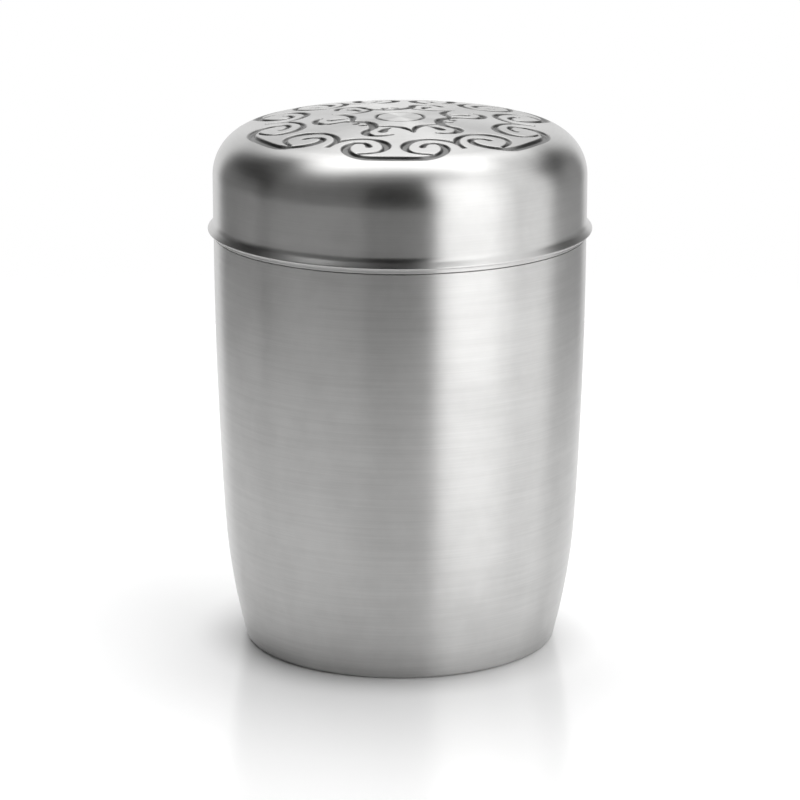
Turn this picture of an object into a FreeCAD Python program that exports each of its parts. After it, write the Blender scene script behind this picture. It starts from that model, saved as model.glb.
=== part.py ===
"""Round storage tin: a tapered sheet-steel body, a slip-over domed lid and a push-in inner lid.

The frame: origin at the centre of the standing ring's underside, +Z up the tin's axis, millimetres.
Every piece is turned about that axis, so each is one sketched outline (radius across, height up) and a revolution.
"""
import FreeCAD, Part
import math
import os
import re

import Sketcher
from FreeCAD import Placement, Rotation, Vector

# The driving dimensions, in millimetres: alias, value, what it is.
SIZES = [
    ("sheet_gauge", 0.6, "thickness of the body, base and lid sheet"),
    ("tin_radius", 42.57, "body, outside, at the mouth"),
    ("mouth_height", 95.4, "top edge of the body wall"),
    ("bend_height", 30.0, "where the slow upper curve passes into the foot's curve"),
    ("wall_arc", 1120.0, "radius of the wall's slow upper curve"),
    ("foot_arc", 150.0, "radius of the curve that draws the wall in to the foot"),
    ("foot_corner", 0.7, "outside corner where the wall turns under"),
    ("standing_lip", 32.5, "inner radius of the turned-in standing ring"),
    ("base_radius", 34.9, "base plate's edge, which sits on the standing ring"),
    ("base_rim", 31.0, "inner radius of the base plate's flat rim"),
    ("base_step_radius", 29.5, "where the base plate's step meets its dome"),
    ("base_step", 1.5, "rise of the base plate's step"),
    ("base_crown", 1.0, "further rise of the base plate's dome"),
    ("collar_radius", 41.9, "neck collar, outside"),
    ("collar_gauge", 0.5, "thickness of the collar sheet"),
    ("collar_foot", 82.0, "lower edge of the collar, inside the body"),
    ("collar_height", 108.5, "top of the collar"),
    ("hem_depth", 5.0, "depth of the hem folded inward at the collar's top"),
    ("lid_radius", 42.65, "lid skirt, outside"),
    ("lid_height", 122.3, "top of the lid's crown"),
    ("crown_arc", 236.6, "radius of the lid's shallow crown"),
    ("knuckle_arc", 10.8, "radius of the lid's rounded shoulder"),
    ("curl_radius", 1.0, "outside radius of the bead rolled at the lid's edge"),
    ("curl_height", 96.5, "height of the rolled bead's centre"),
    ("curl_end", 100.0, "angle at which the rolled edge stops, in degrees"),
    ("pan_gauge", 0.5, "thickness of the inner lid's sheet"),
    ("pan_gap", 0.1, "rest clearance between the pan's flange and the collar"),
    ("pan_flange", 41.6, "inner lid's flange, outside"),
    ("pan_radius", 40.6, "inner lid's skirt, outside"),
    ("pan_floor", 99.5, "underside of the inner lid's floor"),
    ("pan_corner", 1.5, "outside corner between skirt and floor"),
    ("groove_radius", 39.7, "bottom of the seal's groove"),
    ("groove_top", 107.2, "upper side of the seal's groove"),
    ("groove_foot", 104.6, "lower side of the seal's groove"),
    ("seal_radius", 40.84, "tips of the seal's two lips"),
    ("seal_web", 40.28, "seal between and beside its lips"),
    ("lip_setback", 0.35, "slope height on each side of a lip"),
    ("lip_width", 0.4, "height of a lip's tip"),
    ("screw_radius", 1.5, "knob screw's shank"),
    ("screw_reach", 6.0, "shank's reach into the knob"),
    ("head_radius", 2.8, "knob screw's head"),
    ("head_height", 1.8, "height of the screw's head"),
    ("head_round", 0.8, "rounding at the edge of the screw's head"),
    ("socket_flats", 2.0, "across the flats of the screw's hexagon socket"),
    ("socket_depth", 1.1, "depth of the screw's socket"),
    ("washer_radius", 3.5, "washer, outside"),
    ("washer_gauge", 0.5, "thickness of the washer"),
    ("knob_foot", 5.5, "knob's foot, outside"),
    ("knob_foot_height", 1.0, "height of the knob's foot"),
    ("knob_waist", 3.4, "knob's waist"),
    ("knob_fillet", 2.1, "hollow curves below and above the waist"),
    ("knob_waist_top", 6.2, "where the waist starts to flare, above the knob's foot"),
    ("knob_radius", 8.0, "knob's cap, outside"),
    ("knob_flare", 8.8, "underside of the cap's edge, above the knob's foot"),
    ("knob_edge", 10.2, "upper side of the cap's edge, above the knob's foot"),
    ("knob_height", 13.5, "whole height of the knob"),
]
ALIASES = {alias for alias, value, meaning in SIZES}

doc = FreeCAD.newDocument("storage_tin")
sheet = doc.addObject("Spreadsheet::Sheet", "Sizes")
for row, (alias, value, meaning) in enumerate(SIZES, start=1):
    sheet.set(f"A{row}", meaning)
    sheet.set(f"B{row}", str(value))
    sheet.setAlias(f"B{row}", alias)
doc.recompute()


def on_sheet(formula):
    """A formula in the sheet's aliases, as an expression that a document object can hold."""
    return re.sub(r"[a-z_]+", lambda word: "Sizes." + word[0] if word[0] in ALIASES else word[0], formula)


def number(formula):
    """The present value of a formula in the sheet's aliases."""
    return float(sheet.evalExpression(on_sheet(formula)))


# Formulas that several outlines share.
BEND_SINE = "((mouth_height - bend_height) / wall_arc)"
BEND_COSINE = f"sqrt(1 - {BEND_SINE} ^ 2)"
BEND_RADIUS = f"(tin_radius - wall_arc * (1 - {BEND_COSINE}))"
FOOT_CENTRE_RADIUS = f"({BEND_RADIUS} - foot_arc * {BEND_COSINE})"
FOOT_CENTRE_HEIGHT = f"(bend_height + foot_arc * {BEND_SINE})"
CORNER_DROP = f"({FOOT_CENTRE_HEIGHT} - foot_corner)"
CORNER_REACH = f"sqrt((foot_arc - foot_corner) ^ 2 - {CORNER_DROP} ^ 2)"
CORNER_SCALE = "foot_arc / (foot_arc - foot_corner)"
INNER_FOOT_REACH = f"sqrt((foot_arc - sheet_gauge) ^ 2 - ({FOOT_CENTRE_HEIGHT} - sheet_gauge) ^ 2)"
KNUCKLE_RADIUS = "(lid_radius - knuckle_arc)"
CROWN_CENTRE = "(lid_height - crown_arc)"
KNUCKLE_RISE = f"sqrt((crown_arc - knuckle_arc) ^ 2 - {KNUCKLE_RADIUS} ^ 2)"
KNUCKLE_HEIGHT = f"({CROWN_CENTRE} + {KNUCKLE_RISE})"
CURL_CENTRE = "(lid_radius - sheet_gauge + curl_radius)"
PAN_FLANGE_FOOT = "(collar_height + pan_gap)"
KNOB_SEAT = "(pan_floor + pan_gauge)"
HEAD_TOP = "(pan_floor - washer_gauge)"
BASE_STEP_TOP_RADIUS = "(base_step_radius + sheet_gauge / 2)"
KNOB_CAP_RISE = "(knob_height - knob_edge)"

LINE = None


def left(radius):
    """An arc to the next point, with its centre on the left of the way there."""
    return radius, 1


def right(radius):
    """An arc to the next point, with its centre on the right of the way there."""
    return radius, -1


def dome_radius(reach, rise):
    """The radius of a dome that rises so far over such a reach, its top square to the axis."""
    return f"(({reach}) ^ 2 + ({rise}) ^ 2) / (2 * {rise})"


def arc_between(start, end, radius, side):
    """The short arc of a radius between two points, its centre to the left (1) or right (-1)."""
    chord = end - start
    middle = (start + end) * 0.5
    rise = math.sqrt(max(radius ** 2 - chord.Length ** 2 / 4, 0.0))
    normal = Vector(-chord.y, chord.x, 0).normalize() * side
    centre = middle + normal * rise
    return Part.Arc(start, centre - normal * radius, end)


def pin_coordinate(sketch, kind, axis, edge, end, formula, name):
    """Holds one coordinate of a point to a formula, or to the axis where the formula is zero."""
    if formula == "0":
        sketch.addConstraint(Sketcher.Constraint("PointOnObject", edge, end, axis))
        return
    index = sketch.addConstraint(Sketcher.Constraint(kind, -1, 1, edge, end, number(formula)))
    sketch.renameConstraint(index, name)
    sketch.setExpression(f".Constraints.{name}", on_sheet(formula))


def outline(sketch, points):
    """Draws a closed outline of (radius, height, way to the next point) with every point and arc held to the sheet."""
    places = [Vector(number(across), number(up), 0) for across, up, way in points]
    edges = []
    for index, (across, up, way) in enumerate(points):
        start, end = places[index], places[(index + 1) % len(places)]
        if way is LINE:
            curve = Part.LineSegment(start, end)
        else:
            curve = arc_between(start, end, number(way[0]), way[1])
        edge = sketch.addGeometry(curve, False)
        runs_forward = sketch.getPoint(edge, 1).distanceToPoint(start) < 1e-6
        edges.append((edge, 1, 2) if runs_forward else (edge, 2, 1))
    for index, (across, up, way) in enumerate(points):
        edge, first, last = edges[index]
        next_edge, next_first, next_last = edges[(index + 1) % len(edges)]
        sketch.addConstraint(Sketcher.Constraint("Coincident", edge, last, next_edge, next_first))
        pin_coordinate(sketch, "DistanceX", -2, edge, first, across, f"across_{index}")
        pin_coordinate(sketch, "DistanceY", -1, edge, first, up, f"up_{index}")
        if way is not LINE:
            constraint = sketch.addConstraint(Sketcher.Constraint("Radius", edge, number(way[0])))
            sketch.renameConstraint(constraint, f"arc_{index}")
            sketch.setExpression(f".Constraints.arc_{index}", on_sheet(way[0]))


def origin_plane(body, role):
    """One of the body's own origin planes."""
    return next(item for item in body.Origin.OriginFeatures if item.Role == role)


def turned(name, points):
    """A body made by one full turn of an outline about the tin's axis."""
    body = doc.addObject("PartDesign::Body", name)
    body.Label = name
    sketch = body.newObject("Sketcher::SketchObject", name + "_outline")
    sketch.AttachmentSupport = (origin_plane(body, "XZ_Plane"), [""])
    sketch.MapMode = "FlatFace"
    outline(sketch, points)
    turn = body.newObject("PartDesign::Revolution", name + "_turn")
    turn.Profile = sketch
    turn.ReferenceAxis = (sketch, ["V_Axis"])
    turn.Angle = 360
    body.Tip = turn
    return body


def make_body_shell():
    """The wall: straight at the mouth, drawn in at the foot, its edge turned in as a standing ring."""
    return turned("body_shell", [
        ("tin_radius", "mouth_height", right("wall_arc")),
        (BEND_RADIUS, "bend_height", right("foot_arc")),
        (f"{FOOT_CENTRE_RADIUS} + {CORNER_REACH} * {CORNER_SCALE}",
         f"{FOOT_CENTRE_HEIGHT} - {CORNER_DROP} * {CORNER_SCALE}", right("foot_corner")),
        (f"{FOOT_CENTRE_RADIUS} + {CORNER_REACH}", "0", LINE),
        ("standing_lip", "0", LINE),
        ("standing_lip", "sheet_gauge", LINE),
        (f"{FOOT_CENTRE_RADIUS} + {INNER_FOOT_REACH}", "sheet_gauge", left("foot_arc - sheet_gauge")),
        (f"{BEND_RADIUS} - sheet_gauge * {BEND_COSINE}",
         f"bend_height + sheet_gauge * {BEND_SINE}", left("wall_arc - sheet_gauge")),
        ("tin_radius - sheet_gauge", "mouth_height", LINE),
    ])


def make_base_disc():
    """The pressed base plate: a flat rim on the standing ring, a step and a shallow dome."""
    return turned("base_disc", [
        ("base_radius", "sheet_gauge", LINE),
        ("base_rim", "sheet_gauge", LINE),
        ("base_step_radius", "sheet_gauge + base_step", left(dome_radius("base_step_radius", "base_crown"))),
        ("0", "sheet_gauge + base_step + base_crown", LINE),
        ("0", "2 * sheet_gauge + base_step + base_crown", right(dome_radius(BASE_STEP_TOP_RADIUS, "base_crown"))),
        (BASE_STEP_TOP_RADIUS, "2 * sheet_gauge + base_step", LINE),
        ("base_rim + sheet_gauge / 2", "2 * sheet_gauge", LINE),
        ("base_radius", "2 * sheet_gauge", LINE),
    ])


def make_neck_collar():
    """The sleeve in the mouth that the lid slips over, its top edge folded inward to a round hem."""
    return turned("neck_collar", [
        ("collar_radius", "collar_foot", LINE),
        ("collar_radius", "collar_height - collar_gauge", left("collar_gauge")),
        ("collar_radius - collar_gauge", "collar_height", left("collar_gauge")),
        ("collar_radius - 2 * collar_gauge", "collar_height - collar_gauge", LINE),
        ("collar_radius - 2 * collar_gauge", "collar_height - hem_depth", LINE),
        ("collar_radius - collar_gauge", "collar_height - hem_depth", LINE),
        ("collar_radius - collar_gauge", "collar_foot", LINE),
    ])


def make_lid_shell():
    """The outer lid: shallow crown, round shoulder, straight skirt and an edge rolled outward to a hollow bead."""
    inner_curl = "(curl_radius - sheet_gauge)"
    end_cosine = "cos(curl_end * 1 deg)"
    end_sine = "sin(curl_end * 1 deg)"
    crown_scale = "crown_arc / (crown_arc - knuckle_arc)"
    inner_scale = "(crown_arc - sheet_gauge) / (crown_arc - knuckle_arc)"
    return turned("lid_shell", [
        ("0", "lid_height", right("crown_arc")),
        (f"{KNUCKLE_RADIUS} * {crown_scale}", f"{CROWN_CENTRE} + {KNUCKLE_RISE} * {crown_scale}",
         right("knuckle_arc")),
        ("lid_radius", KNUCKLE_HEIGHT, LINE),
        ("lid_radius", "curl_height", left(inner_curl)),
        (CURL_CENTRE, f"curl_height - {inner_curl}", left(inner_curl)),
        (f"{CURL_CENTRE} + {inner_curl}", "curl_height", left(inner_curl)),
        (f"{CURL_CENTRE} + {inner_curl} * {end_cosine}", f"curl_height + {inner_curl} * {end_sine}", LINE),
        (f"{CURL_CENTRE} + curl_radius * {end_cosine}", f"curl_height + curl_radius * {end_sine}",
         right("curl_radius")),
        (f"{CURL_CENTRE} + curl_radius", "curl_height", right("curl_radius")),
        (CURL_CENTRE, "curl_height - curl_radius", right("curl_radius")),
        ("lid_radius - sheet_gauge", "curl_height", LINE),
        ("lid_radius - sheet_gauge", KNUCKLE_HEIGHT, left("knuckle_arc - sheet_gauge")),
        (f"{KNUCKLE_RADIUS} * {inner_scale}", f"{CROWN_CENTRE} + {KNUCKLE_RISE} * {inner_scale}",
         left("crown_arc - sheet_gauge")),
        ("0", "lid_height - sheet_gauge", LINE),
    ])


def make_inner_lid():
    """The push-in pan: a flange on the collar's hem, a skirt with a rolled groove and a flat floor."""
    return turned("inner_lid", [
        ("pan_flange", PAN_FLANGE_FOOT, LINE),
        ("pan_flange", f"{PAN_FLANGE_FOOT} + pan_gauge", LINE),
        ("pan_radius - pan_gauge", f"{PAN_FLANGE_FOOT} + pan_gauge", LINE),
        ("pan_radius - pan_gauge", "groove_top + pan_gauge", LINE),
        ("groove_radius - pan_gauge", "groove_top + pan_gauge", LINE),
        ("groove_radius - pan_gauge", "groove_foot - pan_gauge", LINE),
        ("pan_radius - pan_gauge", "groove_foot - pan_gauge", LINE),
        ("pan_radius - pan_gauge", "pan_floor + pan_corner", right("pan_corner - pan_gauge")),
        ("pan_radius - pan_corner", "pan_floor + pan_gauge", LINE),
        ("screw_radius", "pan_floor + pan_gauge", LINE),
        ("screw_radius", "pan_floor", LINE),
        ("pan_radius - pan_corner", "pan_floor", left("pan_corner")),
        ("pan_radius", "pan_floor + pan_corner", LINE),
        ("pan_radius", "groove_foot", LINE),
        ("groove_radius", "groove_foot", LINE),
        ("groove_radius", "groove_top", LINE),
        ("pan_radius", "groove_top", LINE),
        ("pan_radius", PAN_FLANGE_FOOT, LINE),
    ])


def make_inner_lid_seal():
    """The soft ring in the pan's groove, with two lips that bear on the collar's hem."""
    return turned("inner_lid_seal", [
        ("groove_radius", "groove_foot", LINE),
        ("seal_web", "groove_foot", LINE),
        ("seal_radius", "groove_foot + lip_setback", LINE),
        ("seal_radius", "groove_foot + lip_setback + lip_width", LINE),
        ("seal_web", "groove_foot + 2 * lip_setback + lip_width", LINE),
        ("seal_web", "groove_top - 2 * lip_setback - lip_width", LINE),
        ("seal_radius", "groove_top - lip_setback - lip_width", LINE),
        ("seal_radius", "groove_top - lip_setback", LINE),
        ("seal_web", "groove_top", LINE),
        ("groove_radius", "groove_top", LINE),
    ])


def make_inner_lid_knob():
    """The turned knob: a foot, a waist, a flared cap, and a blind hole for its screw."""
    return turned("inner_lid_knob", [
        ("screw_radius", KNOB_SEAT, LINE),
        ("knob_foot", KNOB_SEAT, LINE),
        ("knob_foot", f"{KNOB_SEAT} + knob_foot_height", right("knob_fillet")),
        ("knob_waist", f"{KNOB_SEAT} + knob_foot_height + knob_fillet", LINE),
        ("knob_waist", f"{KNOB_SEAT} + knob_waist_top", right("knob_radius - knob_waist")),
        ("knob_radius", f"{KNOB_SEAT} + knob_flare", LINE),
        ("knob_radius", f"{KNOB_SEAT} + knob_edge", left(dome_radius("knob_radius", KNOB_CAP_RISE))),
        ("0", f"{KNOB_SEAT} + knob_height", LINE),
        ("0", f"{KNOB_SEAT} + screw_reach", LINE),
        ("screw_radius", f"{KNOB_SEAT} + screw_reach", LINE),
    ])


def make_knob_washer():
    """The flat washer between the pan's floor and the screw's head."""
    return turned("knob_washer", [
        ("screw_radius", HEAD_TOP, LINE),
        ("washer_radius", HEAD_TOP, LINE),
        ("washer_radius", "pan_floor", LINE),
        ("screw_radius", "pan_floor", LINE),
    ])


def make_knob_screw():
    """The pan-head screw, its thread left plain, with a hexagon socket in the head's underside."""
    body = turned("knob_screw", [
        ("0", f"{HEAD_TOP} - head_height", LINE),
        ("head_radius - head_round", f"{HEAD_TOP} - head_height", left("head_round")),
        ("head_radius", f"{HEAD_TOP} - head_height + head_round", LINE),
        ("head_radius", HEAD_TOP, LINE),
        ("screw_radius", HEAD_TOP, LINE),
        ("screw_radius", f"{KNOB_SEAT} + screw_reach", LINE),
        ("0", f"{KNOB_SEAT} + screw_reach", LINE),
    ])
    doc.recompute()
    whole_volume = body.Shape.Volume

    sketch = body.newObject("Sketcher::SketchObject", "knob_screw_socket_outline")
    sketch.AttachmentSupport = (origin_plane(body, "XY_Plane"), [""])
    sketch.MapMode = "FlatFace"
    sketch.AttachmentOffset = Placement(Vector(0, 0, number(f"{HEAD_TOP} - head_height")), Rotation())
    sketch.setExpression(".AttachmentOffset.Base.z", on_sheet(f"{HEAD_TOP} - head_height"))
    corner_radius = number("socket_flats") / math.sqrt(3)
    corners = [Vector(corner_radius * math.cos(math.radians(60 * turn)),
                      corner_radius * math.sin(math.radians(60 * turn)), 0) for turn in range(6)]
    sides = [sketch.addGeometry(Part.LineSegment(corners[turn], corners[(turn + 1) % 6]), False)
             for turn in range(6)]
    circle = sketch.addGeometry(Part.Circle(Vector(0, 0, 0), Vector(0, 0, 1), corner_radius), True)
    sketch.addConstraint(Sketcher.Constraint("Coincident", circle, 3, -1, 1))
    for turn, side in enumerate(sides):
        sketch.addConstraint(Sketcher.Constraint("Coincident", side, 2, sides[(turn + 1) % 6], 1))
        sketch.addConstraint(Sketcher.Constraint("PointOnObject", side, 1, circle))
    for side in sides[1:]:
        sketch.addConstraint(Sketcher.Constraint("Equal", sides[0], side))
    sketch.addConstraint(Sketcher.Constraint("PointOnObject", sides[0], 1, -1))
    radius_constraint = sketch.addConstraint(Sketcher.Constraint("Radius", circle, corner_radius))
    sketch.renameConstraint(radius_constraint, "corner_radius")
    sketch.setExpression(".Constraints.corner_radius", on_sheet("socket_flats / sqrt(3)"))

    socket = body.newObject("PartDesign::Pocket", "knob_screw_socket")
    socket.Profile = sketch
    socket.Length = number("socket_depth")
    socket.setExpression("Length", on_sheet("socket_depth"))
    socket.Reversed = True
    body.Tip = socket
    doc.recompute()
    if not body.Shape.Volume < whole_volume:
        raise ValueError("the screw's socket cut nothing")
    return body


pieces = [
    make_body_shell(),
    make_base_disc(),
    make_neck_collar(),
    make_lid_shell(),
    make_inner_lid(),
    make_inner_lid_seal(),
    make_inner_lid_knob(),
    make_knob_washer(),
    make_knob_screw(),
]
doc.recompute()

for item in doc.Objects:
    if "Invalid" in item.State or "Error" in item.State:
        raise ValueError(f"{item.Label} failed: {item.State}")
for piece in pieces:
    if piece.Shape.isNull() or not piece.Shape.isValid() or len(piece.Shape.Solids) != 1:
        raise ValueError(f"{piece.Label} is not one valid solid")

os.makedirs("parts", exist_ok=True)
for piece in pieces:
    piece.Shape.exportStep(f"parts/{piece.Label}.step")
    box = piece.Shape.optimalBoundingBox()
    print(f"{piece.Label}: radius {box.XMax:.2f}, height {box.ZMin:.2f} to {box.ZMax:.2f},"
          f" volume {piece.Shape.Volume:.1f} mm3")
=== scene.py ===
import math

import bpy
import numpy as np
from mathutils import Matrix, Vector, kdtree


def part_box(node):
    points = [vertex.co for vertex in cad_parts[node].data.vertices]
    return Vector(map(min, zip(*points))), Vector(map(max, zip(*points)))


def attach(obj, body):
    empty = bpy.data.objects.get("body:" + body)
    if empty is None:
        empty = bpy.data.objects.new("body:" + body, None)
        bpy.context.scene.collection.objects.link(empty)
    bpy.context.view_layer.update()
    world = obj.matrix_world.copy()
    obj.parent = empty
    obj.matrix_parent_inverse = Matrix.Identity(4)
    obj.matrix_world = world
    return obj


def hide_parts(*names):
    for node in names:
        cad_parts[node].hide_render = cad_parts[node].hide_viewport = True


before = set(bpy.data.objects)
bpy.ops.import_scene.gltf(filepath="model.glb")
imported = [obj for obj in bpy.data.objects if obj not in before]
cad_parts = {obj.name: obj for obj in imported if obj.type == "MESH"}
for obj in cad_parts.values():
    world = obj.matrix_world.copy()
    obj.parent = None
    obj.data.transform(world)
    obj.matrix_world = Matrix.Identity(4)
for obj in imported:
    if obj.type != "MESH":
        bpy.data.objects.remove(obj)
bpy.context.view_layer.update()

# The shapes of the object are worked out in millimetres, and become metres when a mesh is made.
MM = 0.001


def top_of(node):
    """The highest point of a CAD node, in millimetres."""
    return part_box(node)[1].z / MM


def foot_of(node):
    """The lowest point of a CAD node, in millimetres."""
    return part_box(node)[0].z / MM


# ---------------------------------------------------------------------------------------------
# Sizes. Heights come from the CAD parts in model.glb. The curves repeat the drawing's radii, apart
# from the lid's bead and the corner at the foot, which are drawn finer here than in the drawing.
# ---------------------------------------------------------------------------------------------
GAUGE = 0.6

TIN_RADIUS = 42.57
MOUTH = top_of("body_shell")
BEND = 30.0
WALL_ARC = 1120.0
FOOT_ARC = 150.0
FOOT_CORNER = 1.1
LIP_RADIUS = 32.8
EDGE_SWELL = 0.1
# Angles of the wall's points, in degrees on each of its arcs. The first few, (first, last, step),
# are close together, so that the shading stays even up to the mouth's edge.
MOUTH_RINGS = (-0.007, -0.019, 0.004)
WALL_START = -0.025
WALL_STEP = 0.12
FOOT_STEP = 0.6
CORNER_STEP = 12.0

# The base plate's underside from its rim to the axis: (radius, height over its seat, rounding).
BASE_RIM = 34.6
BASE_CORNERS = [
    (BASE_RIM, 0.0, 0),
    (31.0, 0.0, 0.8),
    (29.5, 1.5, 1.2),
    (25.0, 1.9, 6.0),
    (14.0, 2.3, 20.0),
    (0.0, 2.5, 0),
]

LID_RADIUS = 42.65
LID_TOP = top_of("lid_shell")
LID_FOOT = foot_of("lid_shell")
CROWN_ARC = 236.6
KNUCKLE_ARC = 10.8
BEAD_REACH = 43.9
BEAD_HEIGHT = LID_FOOT + 1.4
BEAD_RADIUS = 0.32
BEAD_SLOPE = 41.0
BEAD_HOLLOW = 1.9
BEAD_BACK = -140.0
FOOT_EDGE = 0.12

COLLAR_RADIUS = 41.9
COLLAR_GAUGE = 0.5
COLLAR_TOP = top_of("neck_collar")
COLLAR_FOOT = foot_of("neck_collar")
HEM_DEPTH = 5.0
HEM_ROUNDING = COLLAR_GAUGE * 0.98

PAN_GAUGE = 0.5
PAN_FLANGE = 41.6
PAN_RADIUS = 40.6
PAN_TOP = top_of("inner_lid")
PAN_FLOOR = foot_of("inner_lid")
PAN_FLAT = 30.0
GROOVE_RADIUS = 39.7
GROOVE_TOP = top_of("inner_lid_seal")
GROOVE_FOOT = foot_of("inner_lid_seal")
SEAL_RADIUS = 40.84
SEAL_WEB = 40.28
SEAL_SLANT = 0.35
SEAL_TIP = 0.4

KNOB_SEAT = foot_of("inner_lid_knob")
KNOB_TOP = top_of("inner_lid_knob")
KNOB_RADIUS = 8.0
KNOB_CROWN = 3.3
HOLE_DEPTH = 6.0
SCREW_RADIUS = 1.5
# The knob's side from the hole in its foot to its rim: (radius, height over its seat, rounding).
KNOB_SIDE = [
    (SCREW_RADIUS, 0.0, 0),
    (5.5, 0.0, 0.15),
    (5.5, 1.0, 0.3),
    (3.4, 1.6, 1.4),
    (3.4, 7.0, 2.6),
    (KNOB_RADIUS, 8.8, 0.5),
]

# ---------------------------------------------------------------------------------------------
# Outlines: lists of (radius, height) points.
# ---------------------------------------------------------------------------------------------
ARC_STEP = 9.0
ON_AXIS = 1e-6


def arc(centre, radius, start, end, step=ARC_STEP):
    """Points of an arc from one angle to another, in degrees, both ends included."""
    count = max(2, math.ceil(abs(end - start) / step) + 1)
    angles = [math.radians(angle) for angle in np.linspace(start, end, count)]
    return [(centre[0] + radius * math.cos(angle), centre[1] + radius * math.sin(angle))
            for angle in angles]


def rounded(corners, closed=True, step=15.0):
    """An outline through corners of (radius, height, rounding)."""
    points = []
    count = len(corners)
    for index, (across, up, rounding) in enumerate(corners):
        corner = np.array((across, up))
        at_end = not closed and index in (0, count - 1)
        if at_end or rounding == 0:
            points.append((across, up))
            continue
        before = np.array(corners[index - 1][:2]) - corner
        after = np.array(corners[(index + 1) % count][:2]) - corner
        before = before / np.linalg.norm(before)
        after = after / np.linalg.norm(after)
        half = math.acos(np.clip(before @ after, -1, 1)) / 2
        bisector = (before + after) / np.linalg.norm(before + after)
        centre = corner + bisector * rounding / math.sin(half)
        first = corner + before * rounding / math.tan(half)
        last = corner + after * rounding / math.tan(half)
        start = math.degrees(math.atan2(*(first - centre)[::-1]))
        turn = (math.degrees(math.atan2(*(last - centre)[::-1])) - start + 180) % 360 - 180
        points += arc(centre, rounding, start, start + turn, step)
    return points


def sheet(path, gauge):
    """The closed outline of a sheet to the right of a path. Its two edges swell a little."""
    face = np.array(path, float)
    along = np.gradient(face, axis=0)
    along /= np.linalg.norm(along, axis=1)[:, None]
    right = np.stack([along[:, 1], -along[:, 0]], 1)
    back = face + right * gauge
    edges = []
    for end, direction in ((-1, along[-1]), (0, -along[0])):
        middle = (face[end] + back[end]) / 2
        half_way = face[end] - middle if end == -1 else back[end] - middle
        edges.append([middle + half_way * math.cos(t) + direction * EDGE_SWELL * math.sin(t)
                      for t in np.linspace(0, math.pi, 7)[1:-1]])
    return [tuple(point) for point in (*face, *edges[0], *back[::-1], *edges[1])]


def lathe(name, outline, segments=288):
    """A closed surface of revolution. Its outline is closed, or starts and ends on the axis."""
    vertices = []
    rings = []
    turns = np.linspace(0, math.tau, segments, endpoint=False)
    for across, up in outline:
        if across < ON_AXIS:
            rings.append([len(vertices)])
            vertices.append((0.0, 0.0, up * MM))
        else:
            rings.append(list(range(len(vertices), len(vertices) + segments)))
            vertices += [(across * math.cos(t) * MM, across * math.sin(t) * MM, up * MM)
                         for t in turns]
    on_axis = len(rings[0]) == 1 and len(rings[-1]) == 1
    following = rings[1:] if on_axis else rings[1:] + rings[:1]
    faces = []
    for lower, upper in zip(rings, following):
        faces += ring_faces(lower, upper)
    return make_mesh(name, vertices, faces)


def ring_faces(first, second):
    """The faces between two rings. One may be a single point, or have three times the points."""
    size, other = len(first), len(second)
    if size == 1:
        return [(first[0], second[(i + 1) % other], second[i]) for i in range(other)]
    if other == 1:
        return [(first[i], first[(i + 1) % size], second[0]) for i in range(size)]
    if size == other:
        return [(first[i], first[(i + 1) % size], second[(i + 1) % size], second[i])
                for i in range(size)]
    if size > other:
        return [(*[first[(3 * i + k) % size] for k in range(4)], second[(i + 1) % other], second[i])
                for i in range(other)]
    return [(first[i], first[(i + 1) % size], *[second[(3 * i + k) % other] for k in (3, 2, 1, 0)])
            for i in range(size)]


def make_mesh(name, vertices, faces, sharp=40.0):
    """A smooth-shaded object of a closed mesh, with edges over a number of degrees kept sharp."""
    mesh = bpy.data.meshes.new(name)
    mesh.from_pydata(vertices, [], faces)
    mesh.validate()
    mesh.update()
    make_outward(mesh)
    mesh.shade_smooth()
    mesh.set_sharp_from_angle(angle=math.radians(sharp))
    piece = bpy.data.objects.new(name, mesh)
    bpy.context.scene.collection.objects.link(piece)
    return piece


def make_outward(mesh):
    """Turns every face over if the closed mesh encloses a negative volume."""
    mesh.calc_loop_triangles()
    corners = np.zeros(len(mesh.vertices) * 3)
    mesh.vertices.foreach_get("co", corners)
    corners = corners.reshape(-1, 3)
    triangles = np.zeros(len(mesh.loop_triangles) * 3, int)
    mesh.loop_triangles.foreach_get("vertices", triangles)
    a, b, c = corners[triangles.reshape(-1, 3)].transpose(1, 0, 2)
    volume = np.einsum("ij,ij->i", a, np.cross(b, c)).sum()
    if volume < 0:
        mesh.flip_normals()


# ---------------------------------------------------------------------------------------------
# The scrolls pressed into the crown.
# A stroke is a list of (across, out, width): across a motif's axis, out from the lid's centre.
# ---------------------------------------------------------------------------------------------
OUTER_AXIS = 268.0
OUTER_COUNT = 6
OUTER_STROKES = [
    [(5.9, 27.1, 1.5), (6.3, 25.6, 1.2), (7.4, 24.4, 1.2), (9.0, 24.2, 1.3), (10.3, 25.3, 1.7),
     (11.0, 27.2, 2.0), (10.9, 29.4, 2.1), (10.1, 31.4, 2.1), (8.8, 33.0, 2.0), (6.6, 34.2, 1.9),
     (3.4, 34.7, 1.9), (0.0, 34.8, 1.9)],
    [(14.9, 26.4, 0.7), (14.2, 24.6, 1.2), (12.8, 22.8, 1.4), (10.6, 21.6, 1.3), (8.2, 21.2, 1.2),
     (5.8, 21.6, 1.3), (3.9, 22.8, 1.7), (2.6, 24.6, 2.0), (2.0, 26.8, 2.0), (2.2, 28.9, 1.6),
     (3.4, 30.7, 1.2), (5.6, 31.7, 1.0), (8.0, 31.9, 0.9)],
]

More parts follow.
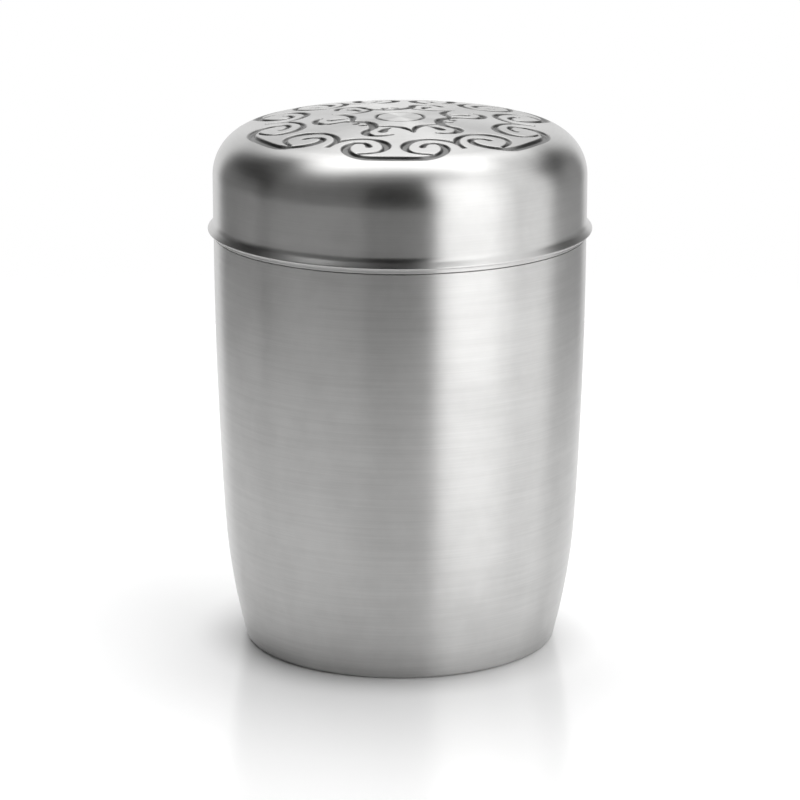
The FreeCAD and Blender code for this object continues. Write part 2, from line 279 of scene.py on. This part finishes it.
INNER_AXIS = 281.0
INNER_COUNT = 3
INNER_STROKES = [
    [(8.9, 3.2, 1.0), (8.1, 4.8, 1.8), (7.7, 7.2, 2.1), (7.9, 9.8, 2.0), (8.9, 11.4, 1.5),
     (10.2, 12.8, 1.8), (10.7, 14.9, 2.0), (9.6, 16.8, 1.7), (7.4, 17.6, 1.3), (5.2, 17.2, 1.0)],
    [(0.0, 16.0, 0.8), (0.4, 14.4, 1.0), (1.1, 12.6, 1.4), (2.1, 11.1, 1.7), (3.7, 10.0, 1.6),
     (5.5, 9.4, 1.2), (7.2, 9.0, 1.0)],
    [(4.8, 11.4, 1.0), (5.8, 12.4, 1.5), (6.7, 14.1, 2.1)],
    [(11.0, 4.8, 1.5), (11.2, 5.3, 1.5)],
]
# The ring round the lid's centre: radius and width.
RING_STROKE = (5.4, 0.8)
RING_POINTS = 280

# A groove's depth, the width of its sloping side, and the share of that side outside the stroke.
GROOVE_DEPTH = 0.62
GROOVE_EDGE = 0.6
EDGE_OUTSIDE = 0.15
# How far the painted shade reaches to either side of a stroke's edge.
SHADE_REACH = 0.3
STROKE_STEP = 0.2
NEAREST_SAMPLES = 8


def spline(points):
    """A smooth line through the points of a stroke (Catmull-Rom), in even short steps."""
    points = np.array(points, float)
    ends = np.vstack([2 * points[0] - points[1], points, 2 * points[-1] - points[-2]])
    line = []
    for p0, p1, p2, p3 in zip(ends, ends[1:], ends[2:], ends[3:]):
        count = max(2, math.ceil(np.linalg.norm(p2 - p1) / STROKE_STEP))
        for t in np.linspace(0, 1, count, endpoint=False):
            square = (2 * p0 - 5 * p1 + 4 * p2 - p3) * t ** 2
            cube = (3 * p1 - p0 - 3 * p2 + p3) * t ** 3
            line.append(0.5 * (2 * p1 + (p2 - p0) * t + square + cube))
    line.append(points[-1])
    return np.array(line)


def placed(line, axis, mirrored):
    """A stroke's line moved from its motif to the lid: rows of (x, y, width)."""
    angle = math.radians(axis)
    out = np.array((math.cos(angle), math.sin(angle)))
    across = np.array((-math.sin(angle), math.cos(angle))) * (-1 if mirrored else 1)
    place = line[:, 1:2] * out + line[:, 0:1] * across
    return np.column_stack([place, line[:, 2]])


def scroll_samples():
    """Every stroke of the pattern as one long list of points and widths."""
    samples = []
    motifs = (
        (OUTER_STROKES, OUTER_AXIS, OUTER_COUNT),
        (INNER_STROKES, INNER_AXIS, INNER_COUNT),
    )
    for strokes, axis, count in motifs:
        for stroke in strokes:
            line = spline(stroke)
            for turn in range(count):
                for mirrored in (False, True):
                    samples.append(placed(line, axis + turn * 360 / count, mirrored))
    radius, width = RING_STROKE
    turns = np.linspace(0, math.tau, RING_POINTS, endpoint=False)
    widths = np.full(RING_POINTS, width)
    samples.append(np.column_stack([radius * np.cos(turns), radius * np.sin(turns), widths]))
    return np.vstack(samples)


def groove_depths(places):
    """How deep the groove is at each (x, y), and how much painted shade darkens the steel there,
    from 0 to 1.
    """
    samples = scroll_samples()
    tree = kdtree.KDTree(len(samples))
    for index, (x, y, width) in enumerate(samples):
        tree.insert((x, y, 0), index)
    tree.balance()
    inside = np.zeros(len(places))
    groove_shade = np.zeros(len(places))
    for index, (x, y) in enumerate(places):
        near = tree.find_n((x, y, 0), NEAREST_SAMPLES)
        reach = max(samples[sample, 2] / 2 - distance for _, sample, distance in near)
        inside[index] = min(max(reach / GROOVE_EDGE + EDGE_OUTSIDE, 0.0), 1.0)
        # Painted shade: the steel darkens inside the groove and a little past its rim.
        groove_shade[index] = min(max((reach + SHADE_REACH) / (2 * SHADE_REACH), 0.0), 1.0)
    return inside ** 2 * (3 - 2 * inside) * GROOVE_DEPTH, groove_shade


# ---------------------------------------------------------------------------------------------
# The lid.
# ---------------------------------------------------------------------------------------------
KNUCKLE_CENTRE = LID_RADIUS - KNUCKLE_ARC
CROWN_CENTRE = LID_TOP - CROWN_ARC
KNUCKLE_HEIGHT = CROWN_CENTRE + math.sqrt((CROWN_ARC - KNUCKLE_ARC) ** 2 - KNUCKLE_CENTRE ** 2)
TANGENT_RADIUS = KNUCKLE_CENTRE * CROWN_ARC / (CROWN_ARC - KNUCKLE_ARC)
# The crown's two faces are discs of rings; the outer face is three times as fine as the inner.
DISC_RADIUS = 39.0
DISC_RINGS = 150
UNDER_RINGS = DISC_RINGS // 3


def crown_point(radius):
    """Height and outward normal (across, up) of the crown and shoulder at a radius."""
    if radius <= TANGENT_RADIUS:
        across, centre, arc_radius = radius, CROWN_CENTRE, CROWN_ARC
    else:
        across, centre, arc_radius = radius - KNUCKLE_CENTRE, KNUCKLE_HEIGHT, KNUCKLE_ARC
    rise = math.sqrt(arc_radius ** 2 - across ** 2)
    return centre + rise, across / arc_radius, rise / arc_radius


def disc(rings, drop, vertices):
    """A round patch of the crown with the scrolls in it, a drop below the face.

    Ring k has 6k points. The vertices are added to a list that other parts of the lid share.
    """
    plan = [(0.0, 0.0)]
    for ring in range(1, rings + 1):
        radius = DISC_RADIUS * ring / rings
        turns = [math.tau * i / (6 * ring) for i in range(6 * ring)]
        plan += [(radius * math.cos(turn), radius * math.sin(turn)) for turn in turns]
    plan = np.array(plan)
    depths, groove_shade = groove_depths(plan)
    start = len(vertices)
    for (x, y), depth in zip(plan, depths):
        radius = math.hypot(x, y)
        height, lean, upright = crown_point(radius)
        sunk = depth + drop
        outward = (x / radius, y / radius) if radius else (0.0, 0.0)
        vertices.append((
            (x - outward[0] * lean * sunk) * MM,
            (y - outward[1] * lean * sunk) * MM,
            (height - upright * sunk) * MM,
        ))
    faces = []
    previous = [start]
    first = start + 1
    for ring in range(1, rings + 1):
        current = list(range(first, first + 6 * ring))
        faces += disc_faces(previous, current)
        previous = current
        first += 6 * ring
    return faces, previous, groove_shade


def disc_faces(inner, outer):
    """Triangles between a ring of 6(k-1) points and the next one of 6k."""
    if len(inner) == 1:
        return [(inner[0], outer[i], outer[(i + 1) % 6]) for i in range(6)]
    ring = len(outer) // 6
    faces = []
    for sector in range(6):
        for step in range(ring):
            a = outer[(sector * ring + step) % len(outer)]
            b = outer[(sector * ring + step + 1) % len(outer)]
            c = inner[(sector * (ring - 1) + step) % len(inner)]
            faces.append((a, b, c))
            if step < ring - 1:
                d = inner[(sector * (ring - 1) + step + 1) % len(inner)]
                faces.append((c, b, d))
    return faces


def lid_outline():
    """The lid's outline from the crown's disc down the outer face, round the foot and up inside."""
    knuckle = (KNUCKLE_CENTRE, KNUCKLE_HEIGHT)
    start = math.degrees(math.acos((DISC_RADIUS - KNUCKLE_CENTRE) / KNUCKLE_ARC))
    inner_radius = LID_RADIUS - GAUGE

    # The flare is a hollow arc, then a straight slope, then the bead's own arc.
    slope = math.radians(BEAD_SLOPE)
    bead = (BEAD_REACH - BEAD_RADIUS, BEAD_HEIGHT)
    bead_start = (bead[0] + BEAD_RADIUS * math.cos(slope), bead[1] + BEAD_RADIUS * math.sin(slope))
    hollow_end = LID_RADIUS + BEAD_HOLLOW * (1 - math.cos(slope))
    hollow_foot = bead_start[1] + (bead_start[0] - hollow_end) / math.tan(slope)
    hollow = (LID_RADIUS + BEAD_HOLLOW, hollow_foot + BEAD_HOLLOW * math.sin(slope))

    outline = arc(knuckle, KNUCKLE_ARC, start, 0, 3.0)[1:]
    outline += [(LID_RADIUS, up) for up in np.linspace(KNUCKLE_HEIGHT, hollow[1], 8)[1:-1]]
    outline += arc(hollow, BEAD_HOLLOW, 180, 180 + BEAD_SLOPE, 5.0)
    outline += arc(bead, BEAD_RADIUS, BEAD_SLOPE, BEAD_BACK, 15.0)
    outline += [(LID_RADIUS + 0.05, bead[1] - 0.36), (LID_RADIUS, bead[1] - 0.5)]
    outline.append((LID_RADIUS, LID_FOOT + 0.25))
    edge = LID_FOOT + FOOT_EDGE
    outline += arc((LID_RADIUS - FOOT_EDGE, edge), FOOT_EDGE, 0, -90, 30.0)
    outline += arc((inner_radius + FOOT_EDGE, edge), FOOT_EDGE, -90, -180, 30.0)
    heights = np.linspace(LID_FOOT + GAUGE / 2, KNUCKLE_HEIGHT, 8)[1:]
    outline += [(inner_radius, up) for up in heights]
    outline += arc(knuckle, KNUCKLE_ARC - GAUGE, 0, start, 4.0)[1:-1]
    return outline


def make_lid():
    """The outer lid as one closed sheet: pressed crown, shoulder, skirt, bead and inside."""
    vertices = []
    top_faces, top_ring, groove_shade = disc(DISC_RINGS, 0.0, vertices)
    top_count = len(vertices)
    under_faces, under_ring, _ = disc(UNDER_RINGS, GAUGE, vertices)

    count = len(under_ring)
    turns = [math.tau * i / count for i in range(count)]
    rings = []
    for across, up in lid_outline():
        rings.append(list(range(len(vertices), len(vertices) + count)))
        vertices += [(across * math.cos(turn) * MM, across * math.sin(turn) * MM, up * MM)
                     for turn in turns]

    # The crown's outer disc is wound outwards already, and all the other faces are turned over.
    faces = top_faces + [face[::-1] for face in under_faces]
    for first, second in zip([top_ring] + rings, rings + [under_ring]):
        faces += [face[::-1] for face in ring_faces(first, second)]
    lid = make_mesh("lid", vertices, faces, sharp=55.0)
    # The "pressed" attribute holds painted shade for the grooves and their rims.
    pressed = np.zeros(len(lid.data.vertices), np.float32)
    pressed[:top_count] = groove_shade
    attribute = lid.data.attributes.new("pressed", "FLOAT", "POINT")
    attribute.data.foreach_set("value", pressed)
    return lid


# ---------------------------------------------------------------------------------------------
# The other pieces.
# ---------------------------------------------------------------------------------------------
def wall_path():
    """The body's outer face from the mouth down, round the foot and in along the standing ring."""
    sine = (MOUTH - BEND) / WALL_ARC
    cosine = math.sqrt(1 - sine ** 2)
    bend_radius = TIN_RADIUS - WALL_ARC * (1 - cosine)
    bend_angle = -math.degrees(math.asin(sine))
    wall_centre = (TIN_RADIUS - WALL_ARC, MOUTH)
    foot_centre = (bend_radius - FOOT_ARC * cosine, BEND + FOOT_ARC * sine)
    drop = foot_centre[1] - FOOT_CORNER
    reach = math.sqrt((FOOT_ARC - FOOT_CORNER) ** 2 - drop ** 2)
    corner_centre = (foot_centre[0] + reach, FOOT_CORNER)
    corner_angle = -math.degrees(math.asin(drop / (FOOT_ARC - FOOT_CORNER)))

    path = arc(wall_centre, WALL_ARC, *MOUTH_RINGS)
    path += arc(wall_centre, WALL_ARC, WALL_START, bend_angle, WALL_STEP)
    path += arc(foot_centre, FOOT_ARC, bend_angle, corner_angle, FOOT_STEP)[1:]
    path += arc(corner_centre, FOOT_CORNER, corner_angle, -90, CORNER_STEP)[1:]
    path += [(radius, 0.0) for radius in np.linspace(corner_centre[0], LIP_RADIUS, 5)[1:]]
    return path


def make_body():
    """The tapered wall with its foot turned in under it."""
    return lathe("body", sheet(wall_path(), GAUGE))


def make_base():
    """The dished bottom plate, which rests on the standing ring."""
    seat = foot_of("base_disc")
    corners = [(across, seat + up, rounding) for across, up, rounding in BASE_CORNERS]
    path = rounded(corners, closed=False)
    top = [(across, up + GAUGE) for across, up in path]
    rim = arc((BASE_RIM, seat + GAUGE / 2), GAUGE / 2, 90, -90, 30)
    return lathe("base", path[::-1] + rim[::-1][1:-1] + top)


def make_collar():
    """The neck in the body's mouth, with its top edge hemmed over inwards."""
    middle = COLLAR_RADIUS - COLLAR_GAUGE
    inside = COLLAR_RADIUS - 2 * COLLAR_GAUGE
    hem_foot = COLLAR_TOP - HEM_DEPTH
    return lathe("collar", rounded([
        (COLLAR_RADIUS, COLLAR_FOOT, 0.15),
        (COLLAR_RADIUS, COLLAR_TOP, HEM_ROUNDING),
        (inside, COLLAR_TOP, HEM_ROUNDING),
        (inside, hem_foot, 0.22),
        (middle, hem_foot, 0.0),
        (middle, COLLAR_FOOT, 0.15),
    ]))


def make_inner_lid():
    """The push-in pan: a flange, a wall with the seal's groove in it, and a flat floor."""
    inner_wall = PAN_RADIUS - PAN_GAUGE
    inner_groove = GROOVE_RADIUS - PAN_GAUGE
    above = [
        (PAN_FLANGE, PAN_TOP, 0),
        (inner_wall, PAN_TOP, 0.5),
        (inner_wall, GROOVE_TOP + PAN_GAUGE, 0.2),
        (inner_groove, GROOVE_TOP + PAN_GAUGE, 0.3),
        (inner_groove, GROOVE_FOOT - PAN_GAUGE, 0.3),
        (inner_wall, GROOVE_FOOT - PAN_GAUGE, 0.2),
        (inner_wall, PAN_FLOOR + PAN_GAUGE, 1.6),
        (PAN_FLAT, PAN_FLOOR + PAN_GAUGE, 0),
        (SCREW_RADIUS, PAN_FLOOR + PAN_GAUGE, 0),
    ]
    below = [
        (SCREW_RADIUS, PAN_FLOOR, 0),
        (PAN_FLAT, PAN_FLOOR, 0),
        (PAN_RADIUS, PAN_FLOOR, 2.0),
        (PAN_RADIUS, GROOVE_FOOT, 0.15),
        (GROOVE_RADIUS, GROOVE_FOOT, 0.1),
        (GROOVE_RADIUS, GROOVE_TOP, 0.1),
        (PAN_RADIUS, GROOVE_TOP, 0.15),
        (PAN_RADIUS, PAN_TOP - PAN_GAUGE, 0.1),
        (PAN_FLANGE, PAN_TOP - PAN_GAUGE, 0),
    ]
    edge_centre = (PAN_FLANGE - 0.02, PAN_TOP - PAN_GAUGE / 2)
    edge = arc(edge_centre, PAN_GAUGE / 2, -60, 60, 30)
    return lathe("push_in_lid", rounded(above, closed=False) + rounded(below, closed=False) + edge)


def make_seal():
    """The seal: a ring in the pan's groove with two lips."""
    low_lip = GROOVE_FOOT + SEAL_SLANT
    high_lip = GROOVE_TOP - SEAL_SLANT - SEAL_TIP
    return lathe("silicone_seal", rounded([
        (GROOVE_RADIUS, GROOVE_FOOT, 0.1),
        (SEAL_WEB, GROOVE_FOOT, 0.1),
        (SEAL_RADIUS, low_lip, 0.14),
        (SEAL_RADIUS, low_lip + SEAL_TIP, 0.14),
        (SEAL_WEB, low_lip + SEAL_TIP + SEAL_SLANT, 0.1),
        (SEAL_WEB, high_lip - SEAL_SLANT, 0.1),
        (SEAL_RADIUS, high_lip, 0.14),
        (SEAL_RADIUS, high_lip + SEAL_TIP, 0.14),
        (SEAL_WEB, GROOVE_TOP, 0.1),
        (GROOVE_RADIUS, GROOVE_TOP, 0.1),
    ]))


def make_knob():
    """The turned knob: a foot ring, a waisted neck and a domed head, with a blind hole below."""
    crown_arc = (KNOB_RADIUS ** 2 + KNOB_CROWN ** 2) / (2 * KNOB_CROWN)
    half_angle = math.degrees(math.asin(KNOB_RADIUS / crown_arc))
    corners = [(across, KNOB_SEAT + up, rounding) for across, up, rounding in KNOB_SIDE]
    corners.append((KNOB_RADIUS, KNOB_TOP - KNOB_CROWN, 0))
    side = rounded(corners, closed=False)
    crown = arc((0.0, KNOB_TOP - crown_arc), crown_arc, 90 - half_angle, 90, 4.0)[1:]
    crown[-1] = (0.0, KNOB_TOP)
    hole_top = KNOB_SEAT + HOLE_DEPTH
    return lathe("knob", [(0.0, hole_top), (SCREW_RADIUS, hole_top)] + side + crown)


# ---------------------------------------------------------------------------------------------
# Materials.
# ---------------------------------------------------------------------------------------------
class Shader:
    """A short way to lay and join the nodes of one material or world."""

    def __init__(self, tree):
        self.tree = tree
        tree.nodes.clear()

    def add(self, kind, settings=None, **inputs):
        """A new node. Its inputs are given by name, with _ for a space."""
        node = self.tree.nodes.new(kind)
        for key, value in (settings or {}).items():
            setattr(node, key, value)
        for key, value in inputs.items():
            self.feed(node, key.replace("_", " "), value)
        return node

    def feed(self, node, key, value):
        """Links an output to an input, given by name or number, or sets the input's own value."""
        socket = node.inputs[int(key)] if key.isdigit() else node.inputs[key]
        if isinstance(value, bpy.types.NodeSocket):
            self.tree.links.new(value, socket)
        else:
            socket.default_value = value

    def math(self, operation, first, second=0.0):
        """The result of one sum, with a number or an output on either side."""
        node = self.add("ShaderNodeMath", {"operation": operation})
        self.feed(node, "0", first)
        self.feed(node, "1", second)
        return node.outputs[0]

    def wrapped(self, angle):
        """An angle in degrees brought into the range from -180 to 180."""
        node = self.add("ShaderNodeMath", {"operation": "WRAP"})
        for key, value in (("0", angle), ("1", 180.0), ("2", -180.0)):
            self.feed(node, key, value)
        return node.outputs[0]

    def step(self, value, low, high, to_low=0.0, to_high=1.0):
        """A smooth change from one number to another as a value goes from low to high."""
        node = self.add("ShaderNodeMapRange", {"interpolation_type": "SMOOTHSTEP"})
        for key, number in (("Value", value), ("From Min", low), ("From Max", high),
                            ("To Min", to_low), ("To Max", to_high)):
            self.feed(node, key, number)
        return node.outputs[0]

    def mix(self, share, first, second):
        """A blend of two numbers. A share of 0 is all the first."""
        node = self.add("ShaderNodeMix", {"data_type": "FLOAT"})
        for key, number in (("0", share), ("2", first), ("3", second)):
            self.feed(node, key, number)
        return node.outputs[0]


def turned_coordinate(shader, round_scale, along_scale):
    """A coordinate slow round the axis and fast along the outline: noise in it lies in rings."""
    place = shader.add("ShaderNodeTexCoord").outputs["Object"]
    parts = shader.add("ShaderNodeSeparateXYZ", Vector=place).outputs
    flat = shader.add("ShaderNodeCombineXYZ", X=parts["X"], Y=parts["Y"], Z=0.0).outputs[0]
    length = shader.add("ShaderNodeVectorMath", {"operation": "LENGTH"}, Vector=flat)
    heading = shader.add("ShaderNodeVectorMath", {"operation": "NORMALIZE"}, Vector=flat)
    turn = shader.add("ShaderNodeSeparateXYZ", Vector=heading.outputs["Vector"]).outputs
    along = shader.math("SUBTRACT", parts["Z"], length.outputs["Value"])
    return shader.add(
        "ShaderNodeCombineXYZ",
        X=shader.math("MULTIPLY", turn["X"], round_scale),
        Y=shader.math("MULTIPLY", turn["Y"], round_scale),
        Z=shader.math("MULTIPLY", along, along_scale),
    ).outputs[0]


# Most of a noise lies between these two values.
NOISE_RANGE = (0.3, 0.7)
# Noise in the steel: (scale round the axis, scale along the outline, octaves, roughness).
SCRATCHES = (2.4, 5200.0, 3.0, 0.6)
BANDS = (1.3, 900.0, 2.0, 0.5)
CLOUDS = (2.6, 55.0, 4.0, 0.6)


def turned_noise(shader, round_scale, along_scale, octaves, roughness):
    """Noise that is drawn out round the axis."""
    place = turned_coordinate(shader, round_scale, along_scale)
    return shader.add("ShaderNodeTexNoise", Vector=place, Scale=1.0, Detail=octaves,
                      Roughness=roughness).outputs[0]


def brushed_steel(name, grey, roughness, anisotropy=0.85, grain=1.0, pressed=False):
    """Steel brushed round the axis: fine scratches, broader bands and a slow cloudiness.

    Where pressed is set, the mesh's own "pressed" attribute paints shade into the grooves.
    """
    material = bpy.data.materials.new(name)
    material.use_nodes = True
    shader = Shader(material.node_tree)
    scratches = turned_noise(shader, *SCRATCHES)
    bands = turned_noise(shader, *BANDS)
    clouds = turned_noise(shader, *CLOUDS)

    tone = shader.mix(0.45, shader.step(scratches, *NOISE_RANGE, -1.0, 1.0),
                      shader.step(bands, *NOISE_RANGE, -1.0, 1.0))
    tone = shader.math("ADD", shader.math("MULTIPLY", tone, 0.05 * grain),
                       shader.step(clouds, *NOISE_RANGE, -0.03, 0.03))
    brightness = shader.math("ADD", tone, grey)
    if pressed:
        # Painted shade: darker steel in the grooves and just past their rims.
        groove_shade = shader.add("ShaderNodeAttribute", {"attribute_name": "pressed"}).outputs["Fac"]
        shade = shader.step(groove_shade, 0.0, 0.8, 1.0, 0.3)
        brightness = shader.math("MULTIPLY", brightness, shade)
    colour = shader.add(
        "ShaderNodeCombineColor",
        Red=brightness,
        Green=shader.math("MULTIPLY", brightness, 0.996),
        Blue=shader.math("MULTIPLY", brightness, 0.985),
    ).outputs[0]

    spread = 0.03 * grain
    polish = shader.step(scratches, 0.25, 0.75, roughness - spread, roughness + spread)
    haze = shader.step(clouds, *NOISE_RANGE, -spread / 2, spread / 2)
    bump = shader.add("ShaderNodeBump", Strength=0.07 * grain, Distance=0.00006,
                      Height=scratches).outputs[0]
    rings = shader.add("ShaderNodeTangent", {"direction_type": "RADIAL", "axis": "Z"}).outputs[0]

    surface = shader.add("ShaderNodeBsdfPrincipled", Metallic=1.0, Anisotropic=anisotropy)
    surface.inputs["Anisotropic Rotation"].default_value = 0.25
    shader.feed(surface, "Base Color", colour)
    shader.feed(surface, "Roughness", shader.math("ADD", polish, haze))
    shader.feed(surface, "Normal", bump)
    shader.feed(surface, "Tangent", rings)
    shader.add("ShaderNodeOutputMaterial", Surface=surface.outputs[0])
    return material


def silicone():
    """Milky silicone with a faint cloudiness and a fine matt skin."""
    material = bpy.data.materials.new("silicone")
    material.use_nodes = True
    shader = Shader(material.node_tree)
    place = shader.add("ShaderNodeTexCoord").outputs["Object"]
    clouds = shader.add("ShaderNodeTexNoise", Vector=place, Scale=240.0, Detail=3.0).outputs[0]
    skin = shader.add("ShaderNodeTexNoise", Vector=place, Scale=9000.0, Detail=2.0).outputs[0]
    tone = shader.step(clouds, *NOISE_RANGE, 0.74, 0.82)
    blue = shader.math("MULTIPLY", tone, 0.97)
    colour = shader.add("ShaderNodeCombineColor", Red=tone, Green=tone, Blue=blue).outputs[0]
    bump = shader.add("ShaderNodeBump", Strength=0.1, Distance=0.00003, Height=skin).outputs[0]
    surface = shader.add("ShaderNodeBsdfPrincipled")
    surface.inputs["Subsurface Weight"].default_value = 0.3
    surface.inputs["Subsurface Scale"].default_value = 0.001
    shader.feed(surface, "Base Color", colour)
    shader.feed(surface, "Roughness", shader.step(skin, *NOISE_RANGE, 0.4, 0.5))
    shader.feed(surface, "Normal", bump)
    shader.add("ShaderNodeOutputMaterial", Surface=surface.outputs[0])
    return material


def dress(piece, material):
    """Gives a piece its one material."""
    piece.data.materials.clear()
    piece.data.materials.append(material)


# ---------------------------------------------------------------------------------------------
# The object.
# ---------------------------------------------------------------------------------------------
BODY_STEEL = brushed_steel("body_steel", 0.53, 0.33, grain=0.6)
LID_STEEL = brushed_steel("lid_steel", 0.53, 0.31, grain=0.4, pressed=True)
INSIDE_STEEL = brushed_steel("inside_steel", 0.55, 0.30, anisotropy=0.7)
BASE_STEEL = brushed_steel("base_steel", 0.52, 0.42, anisotropy=0.5)
KNOB_STEEL = brushed_steel("knob_steel", 0.66, 0.20, anisotropy=0.6, grain=0.6)
FASTENER_STEEL = brushed_steel("fastener_steel", 0.70, 0.16, anisotropy=0.3, grain=0.4)

# What makes a piece, the body that it rides on, the node that it replaces, its slot and material.
PIECES = [
    (make_body, "tin", "body_shell", "body_steel", BODY_STEEL),
    (make_base, "tin", "base_disc", "base_steel", BASE_STEEL),
    (make_collar, "tin", "neck_collar", "collar_steel", INSIDE_STEEL),
    (make_lid, "lid", "lid_shell", "lid_steel", LID_STEEL),
    (make_inner_lid, "inner_lid", "inner_lid", "pan_steel", INSIDE_STEEL),
    (make_seal, "inner_lid", "inner_lid_seal", "seal_silicone", silicone()),
    (make_knob, "inner_lid", "inner_lid_knob", "knob_steel", KNOB_STEEL),
]
for make, body, node, slot, material in PIECES:
    piece = make()
    dress(piece, material)
    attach(piece, body)
    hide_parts(node)
for node in ("knob_washer", "knob_screw"):
    dress(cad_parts[node], FASTENER_STEEL)


# ---------------------------------------------------------------------------------------------
# The stage: a pale glossy floor, a soft studio all round, and the camera.
# ---------------------------------------------------------------------------------------------
FLOOR_RADIUS = 0.4
FLOOR_POINTS = 128
FLOOR_TONE = 0.93
# The floor is solid to one share of its radius, and has faded out at the other.
FLOOR_FADE = (0.45, 0.98)
# The floor's glow is painted light, held low near the tin, where it leaves a painted shade. It
# rises in two soft steps: (from this distance, to this one, by this much).
GLOW_RISES = [(0.034, 0.050, 0.18), (0.050, 0.120, 0.10)]

CAMERA_DISTANCE = 0.8447
CAMERA_HEIGHT = 0.2825
CAMERA_AIM = 0.0557
CAMERA_LENS = 170.1


def make_floor():
    """A round pale floor that glows a little away from the tin, as painted light, and fades out
    into the white.
    """
    turns = np.linspace(0, math.tau, FLOOR_POINTS, endpoint=False)
    corners = [(FLOOR_RADIUS * math.cos(t), FLOOR_RADIUS * math.sin(t), 0.0) for t in turns]
    mesh = bpy.data.meshes.new("floor")
    mesh.from_pydata(corners, [], [range(FLOOR_POINTS)])
    floor = bpy.data.objects.new("floor", mesh)
    bpy.context.scene.collection.objects.link(floor)

    material = bpy.data.materials.new("pale_floor")
    material.use_nodes = True
    shader = Shader(material.node_tree)
    place = shader.add("ShaderNodeTexCoord").outputs["Object"]
    length = shader.add("ShaderNodeVectorMath", {"operation": "LENGTH"}, Vector=place)
    distance = length.outputs["Value"]
    solid, gone = FLOOR_FADE
    fade = shader.step(distance, FLOOR_RADIUS * solid, FLOOR_RADIUS * gone)
    surface = shader.add("ShaderNodeBsdfPrincipled", Roughness=0.17, IOR=1.6,
                         Base_Color=(FLOOR_TONE, FLOOR_TONE, FLOOR_TONE, 1.0))
    level = 0.0
    # Painted light: the floor glows more away from the tin, so it looks shaded round the tin's
    # foot.
    for near, far, rise in GLOW_RISES:
        level = shader.math("ADD", level, shader.step(distance, near, far, 0.0, rise))
    glow = shader.add("ShaderNodeEmission", Strength=level)
    lifted = shader.add("ShaderNodeAddShader")
    shader.feed(lifted, "0", surface.outputs[0])
    shader.feed(lifted, "1", glow.outputs[0])
    mixed = shader.add("ShaderNodeMixShader", Fac=fade)
    shader.feed(mixed, "1", lifted.outputs[0])
    shader.feed(mixed, "2", shader.add("ShaderNodeBsdfTransparent").outputs[0])
    shader.add("ShaderNodeOutputMaterial", Surface=mixed.outputs[0])
    mesh.materials.append(material)


# The studio round the tin: soft panels of light in a dark room. Headings are in degrees from the
# -Y side of the tin, towards +X; elevations are in degrees above the floor. Each panel has its
# middle's heading, half width, lowest and highest edge, soft edge sideways and up, and brightness.
PANELS = {
    "window": (48, 26, -90, 58, 4, 8, 1.3),
    "window_core": (45, 18, -90, 56, 7, 10, 0.7),
    "window_far_half": (90, 16, -90, 58, 8, 8, 1.2),
    "right_wall": (126, 20, -90, 16, 8, 8, 0.38),
    "right_high_card": (126, 20, 36, 60, 6, 6, 0.85),
    "backdrop": (-177, 32, -90, 36, 9, 7, 0.95),
    "rear_light": (180, 34, 36, 58, 10, 8, 2.2),
    "ceiling": (180, 95, 58, 90, 30, 7, 3.1),
    "left_wall": (-122, 28, -90, 14, 8, 6, 0.22),
    "left_high_card": (-92, 20, 34, 58, 8, 8, 0.2),
    "left_front_card": (-55, 33, -90, 44, 3, 8, 0.14),
}


def make_studio():
    """The world: the panels' light on the object, and plain white where the camera sees it."""
    world = bpy.data.worlds.new("studio")
    bpy.context.scene.world = world
    world.use_nodes = True
    shader = Shader(world.node_tree)
    direction = shader.add("ShaderNodeTexCoord").outputs["Generated"]
    parts = shader.add("ShaderNodeSeparateXYZ", Vector=direction).outputs
    front = shader.math("MULTIPLY", parts["Y"], -1.0)
    heading = shader.math("DEGREES", shader.math("ARCTAN2", parts["X"], front))
    elevation = shader.math("DEGREES", shader.math("ARCSINE", parts["Z"]))
    room = 0.0
    for middle, half_width, low, high, side_edge, level_edge, brightness in PANELS.values():
        offset = shader.wrapped(shader.math("SUBTRACT", heading, float(middle)))
        away = shader.math("ABSOLUTE", offset)
        across = shader.step(away, half_width - side_edge, half_width + side_edge, 1.0, 0.0)
        above = shader.step(elevation, low - level_edge, low + level_edge)
        below = shader.step(elevation, high - level_edge, high + level_edge, 1.0, 0.0)
        lit = shader.math("MULTIPLY", across, shader.math("MULTIPLY", above, below))
        room = shader.math("ADD", room, shader.math("MULTIPLY", lit, brightness))
    seen = shader.add("ShaderNodeLightPath").outputs["Is Camera Ray"]
    background = shader.add("ShaderNodeBackground", Strength=shader.mix(seen, room, 1.0))
    background.inputs["Color"].default_value = (1.0, 1.0, 1.0, 1.0)
    shader.add("ShaderNodeOutputWorld", Surface=background.outputs[0])


def make_camera():
    """The camera, at the photo's distance, height and lens."""
    camera = bpy.data.objects.new("camera", bpy.data.cameras.new("camera"))
    bpy.context.scene.collection.objects.link(camera)
    camera.data.lens = CAMERA_LENS
    camera.data.sensor_width = 36.0
    camera.data.dof.use_dof = False
    camera.data.clip_start = 0.01
    camera.data.clip_end = 20.0
    camera.location = (0.0, -CAMERA_DISTANCE, CAMERA_HEIGHT)
    direction = Vector((0.0, 0.0, CAMERA_AIM)) - camera.location
    camera.rotation_euler = direction.to_track_quat("-Z", "Y").to_euler()
    bpy.context.scene.camera = camera


make_floor()
make_studio()
make_camera()
bpy.context.scene.view_settings.view_transform = "Standard"
